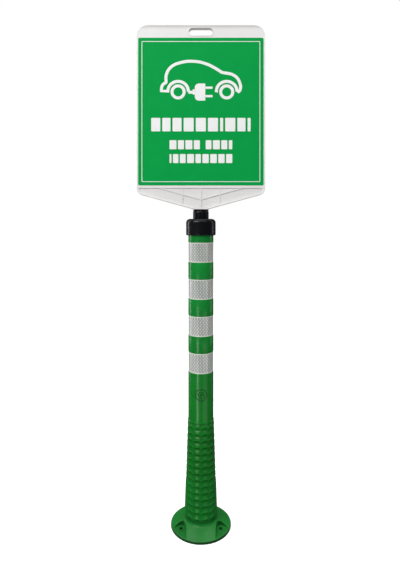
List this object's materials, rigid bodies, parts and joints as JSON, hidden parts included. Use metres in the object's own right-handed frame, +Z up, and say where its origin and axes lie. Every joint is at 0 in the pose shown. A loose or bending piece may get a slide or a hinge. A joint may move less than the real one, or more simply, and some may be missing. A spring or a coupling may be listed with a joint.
{
  "type": "delineator post",
  "caption": "Flexible post with a bolt-down foot, scaled bending zone, reflective bands and a cap that carries a swivelling flat sign board with a handle slot.",
  "frame": {"origin": "centre of the foot's underside, on the ground", "axes": "+Z up along the post, -Y the way the printed face of the board looks, +X to its right seen from the front"},
  "size_m": [0.428, 0.2, 1.667],
  "materials": {
    "post_green": "flexible polyurethane moulding, glossy",
    "reflective_sheet": "grey prismatic retroreflective sheet",
    "cap_black": "black moulded plastic, satin",
    "plug_grey": "hard grey plastic",
    "bush_natural": "natural bearing plastic",
    "steel": "stainless steel",
    "seal_rubber": "soft black rubber",
    "board_white": "white moulded plastic, slightly glossy",
    "label_green": "green reflective film with a white print"
  },
  "bodies": {
    "foot": {"foot_flange": "post_green"},
    "lower_zone": {"flex_zone_lower": "post_green"},
    "post": {"flex_zone_upper": "post_green", "post_tube": "post_green", "reflective_band_1": "reflective_sheet", "reflective_band_2": "reflective_sheet", "reflective_band_3": "reflective_sheet", "reflective_band_4": "reflective_sheet", "cap_collar": "cap_black", "cap_plug": "plug_grey", "cap_screws": "steel", "stem_bush": "bush_natural"},
    "neck_ring": {"lock_ring": "cap_black"},
    "sign": {"thrust_washer": "bush_natural", "retaining_clip": "steel", "neck_seal": "seal_rubber", "sign_stem": "cap_black", "sign_front_shell": "board_white", "sign_rear_shell": "board_white", "shell_screws": "steel", "label_front": "label_green", "label_rear": "label_green"}
  },
  "joints": [
    {"name": "bend_fore", "type": "hinge", "parent": "foot", "child": "lower_zone", "pos_m": [0, 0, 0.112], "axis": [1, 0, 0], "range_deg": [-80, 80], "stiffness_Nm_per_rad": 180, "deforming": ["flex_zone_lower"]},
    {"name": "bend_side", "type": "hinge", "parent": "lower_zone", "child": "post", "pos_m": [0, 0, 0.278], "axis": [0, 1, 0], "range_deg": [-80, 80], "stiffness_Nm_per_rad": 180, "deforming": ["flex_zone_upper"]},
    {"name": "lock_ring_turn", "type": "hinge", "parent": "post", "child": "neck_ring", "pos_m": [0, 0, 1.034], "axis": [0, 0, 1], "range_deg": [0, 60]},
    {"name": "sign_swivel", "type": "hinge", "parent": "post", "child": "sign", "pos_m": [0, 0, 1.05], "axis": [0, 0, 1], "continuous": true}
  ]
}
